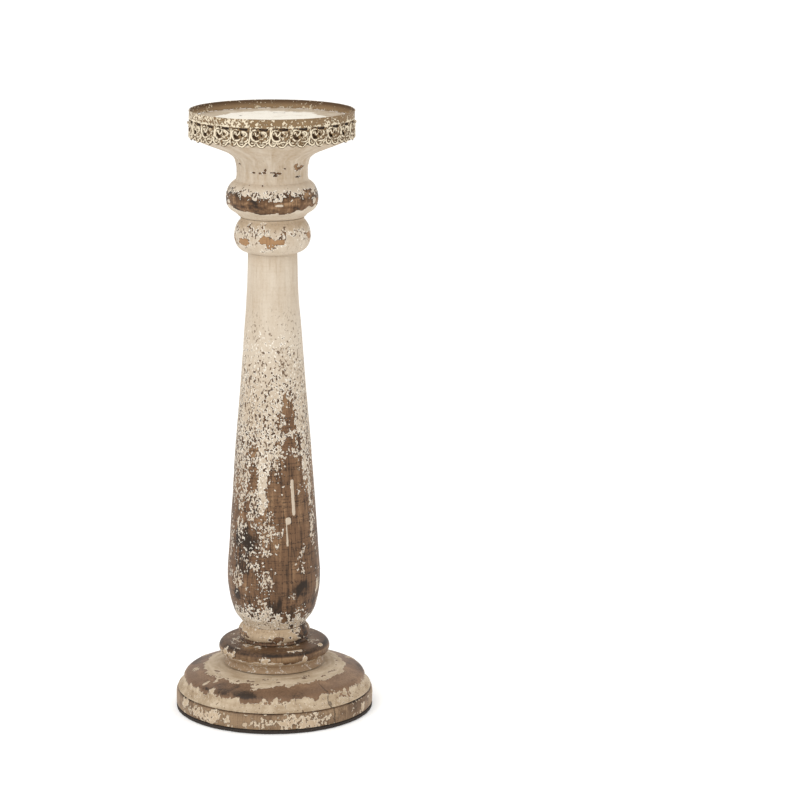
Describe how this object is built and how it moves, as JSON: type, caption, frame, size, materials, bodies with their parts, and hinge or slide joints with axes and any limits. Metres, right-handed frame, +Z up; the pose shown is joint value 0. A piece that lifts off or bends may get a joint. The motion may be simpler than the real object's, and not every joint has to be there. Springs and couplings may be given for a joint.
{
  "type": "candlestick",
  "caption": "Tall turned wooden candlestick: round moulded plinth, tapered baluster shaft, beaded capital and a wide candle tray edged by a pierced metal gallery.",
  "frame": {"origin": "centre of the underside of the foot pad, on the surface the candlestick stands on", "axes": "+Z up along the candlestick's turned axis; -Y towards the front, beside the lapped ends of the gallery strip; +X to the viewer's right"},
  "size_m": [0.152, 0.152, 0.462],
  "materials": {
    "pad": "dark felt",
    "cream_wood": "distressed cream paint over brown stained wood, matt",
    "worn_wood": "paint mostly worn through to brown stained wood, satin",
    "gallery": "pressed sheet metal, cream paint rubbed back to tan",
    "steel": "zinc plated, dull",
    "brass": "dull brass"
  },
  "bodies": {
    "root": {"foot_pad": "pad", "plinth_lower_board": "worn_wood", "plinth_upper_board": "cream_wood", "plinth_screw_1": "steel", "plinth_screw_2": "steel", "plinth_screw_3": "steel", "plinth_screw_4": "steel", "base_ring": "worn_wood", "foot_ring": "cream_wood", "shaft": "cream_wood", "collar": "cream_wood", "capital": "cream_wood", "candle_platform": "cream_wood", "gallery_band": "gallery", "gallery_nail_1": "brass", "gallery_nail_2": "brass", "gallery_nail_3": "brass", "gallery_nail_4": "brass", "gallery_nail_5": "brass", "gallery_nail_6": "brass", "gallery_nail_7": "brass", "gallery_nail_8": "brass", "tie_rod": "steel", "base_washer": "steel", "base_nut": "steel", "threaded_insert": "brass"}
  },
  "joints": []
}
